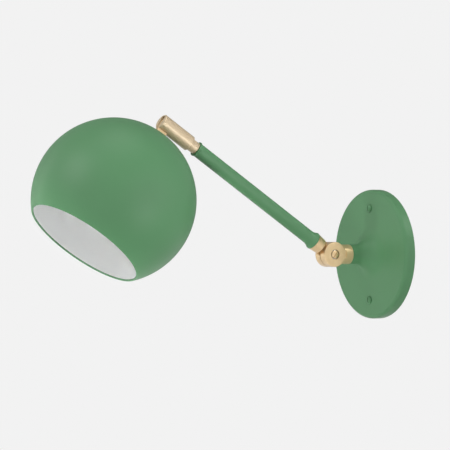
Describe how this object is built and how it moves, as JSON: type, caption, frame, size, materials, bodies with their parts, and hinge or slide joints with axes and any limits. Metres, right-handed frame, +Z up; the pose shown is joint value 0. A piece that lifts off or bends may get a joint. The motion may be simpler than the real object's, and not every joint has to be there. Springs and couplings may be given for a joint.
{
  "type": "wall sconce",
  "caption": "Wall lamp with a round painted canopy, a straight tube arm on a brass hinge, and a round open shade on a slotted brass swivel.",
  "frame": {"origin": "centre of the canopy, on the wall", "axes": "+Y into the wall, +Z up, +X to the right of somebody who faces the wall"},
  "size_m": [0.152, 0.3681, 0.1927],
  "materials": {
    "paint": "satin sage green enamel",
    "shade_paint": "satin sage green enamel outside, matt white inside",
    "brass": "satin brass, pale",
    "zinc": "bright zinc plate",
    "fibre": "dark fibre",
    "ground_green": "green dye on steel",
    "porcelain": "glazed white"
  },
  "bodies": {
    "wall_part": {"canopy": "paint", "crossbar": "zinc", "canopy_screws": "paint", "ground_screw": "ground_green", "seat_ring": "brass", "hinge_base": "brass", "base_washer": "zinc", "base_nut": "zinc"},
    "arm": {"hinge_arm": "brass", "hinge_screw": "brass", "hinge_spring_washer": "zinc", "hinge_friction_disc": "fibre", "arm_tube": "paint", "lower_bush": "brass", "upper_bush": "brass", "swivel_body": "brass", "swivel_screw": "brass"},
    "head": {"swivel_tongue": "brass", "shade_seal": "fibre", "shade": "shade_paint", "shade_lock_washer": "zinc", "shade_nut": "zinc", "socket_cap": "brass", "socket_porcelain": "porcelain", "socket_screw_shell": "brass", "socket_contact": "brass", "socket_terminals": "brass"}
  },
  "joints": [
    {"name": "arm_pivot", "type": "hinge", "parent": "wall_part", "child": "arm", "pos_m": [0, -0.0557, 0], "axis": [-1, 0, 0], "range_deg": [-93.65, 51.35]},
    {"name": "shade_pivot", "type": "hinge", "parent": "arm", "child": "head", "pos_m": [0, -0.23742, 0.12096], "axis": [-1, 0, 0], "range_deg": [-6, 85.65]}
  ]
}
